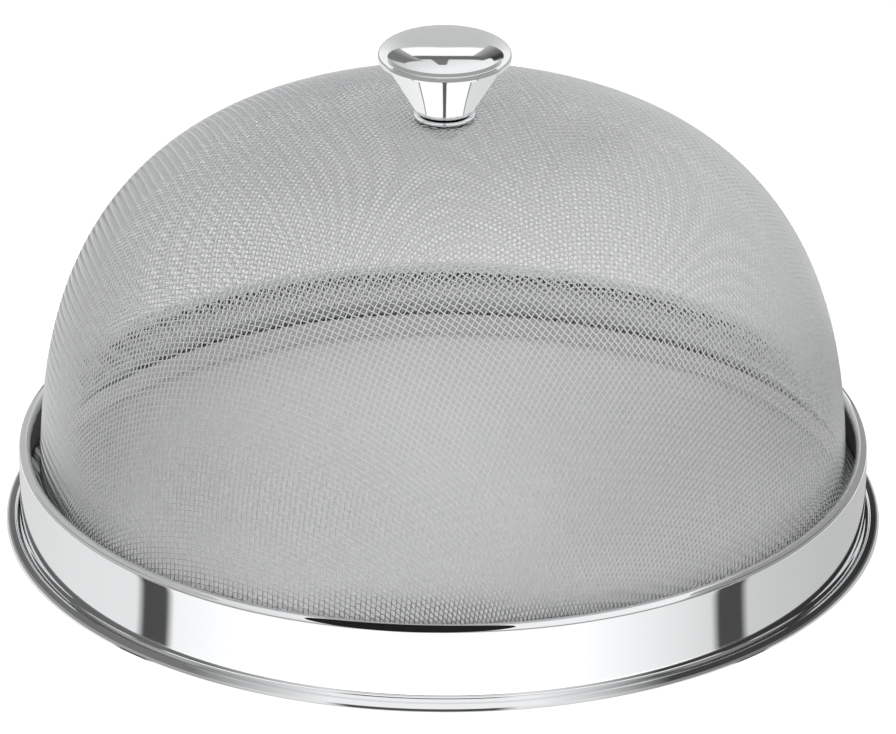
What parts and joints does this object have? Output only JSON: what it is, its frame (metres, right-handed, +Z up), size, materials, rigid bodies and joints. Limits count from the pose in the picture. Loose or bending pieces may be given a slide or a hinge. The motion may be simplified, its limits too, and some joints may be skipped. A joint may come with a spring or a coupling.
{
  "type": "food dome",
  "caption": "Domed cover of woven steel wire cloth in a polished rolled rim, with a conical capped knob, that stands over a plate to keep insects off food.",
  "frame": {"origin": "centre of the circle that the rim stands on, at table height", "axes": "+Z up along the dome's axis, through the knob; the part is round about it"},
  "size_m": [0.3, 0.3, 0.1737],
  "materials": {
    "wire_cloth": "drawn stainless wire, plain weave",
    "polished_sheet": "mirror-polished stainless sheet",
    "bright_steel": "mill-finish stainless steel",
    "fastener_steel": "zinc-plated steel"
  },
  "bodies": {
    "root": {"mesh_dome": "wire_cloth", "rim_band": "polished_sheet", "rim_wire": "bright_steel", "rim_hoop": "bright_steel", "knob_collar": "polished_sheet", "knob_body": "polished_sheet", "knob_cap": "polished_sheet", "knob_boss": "bright_steel", "inner_washer": "bright_steel", "lock_washer": "fastener_steel", "knob_screw": "fastener_steel"}
  },
  "joints": []
}
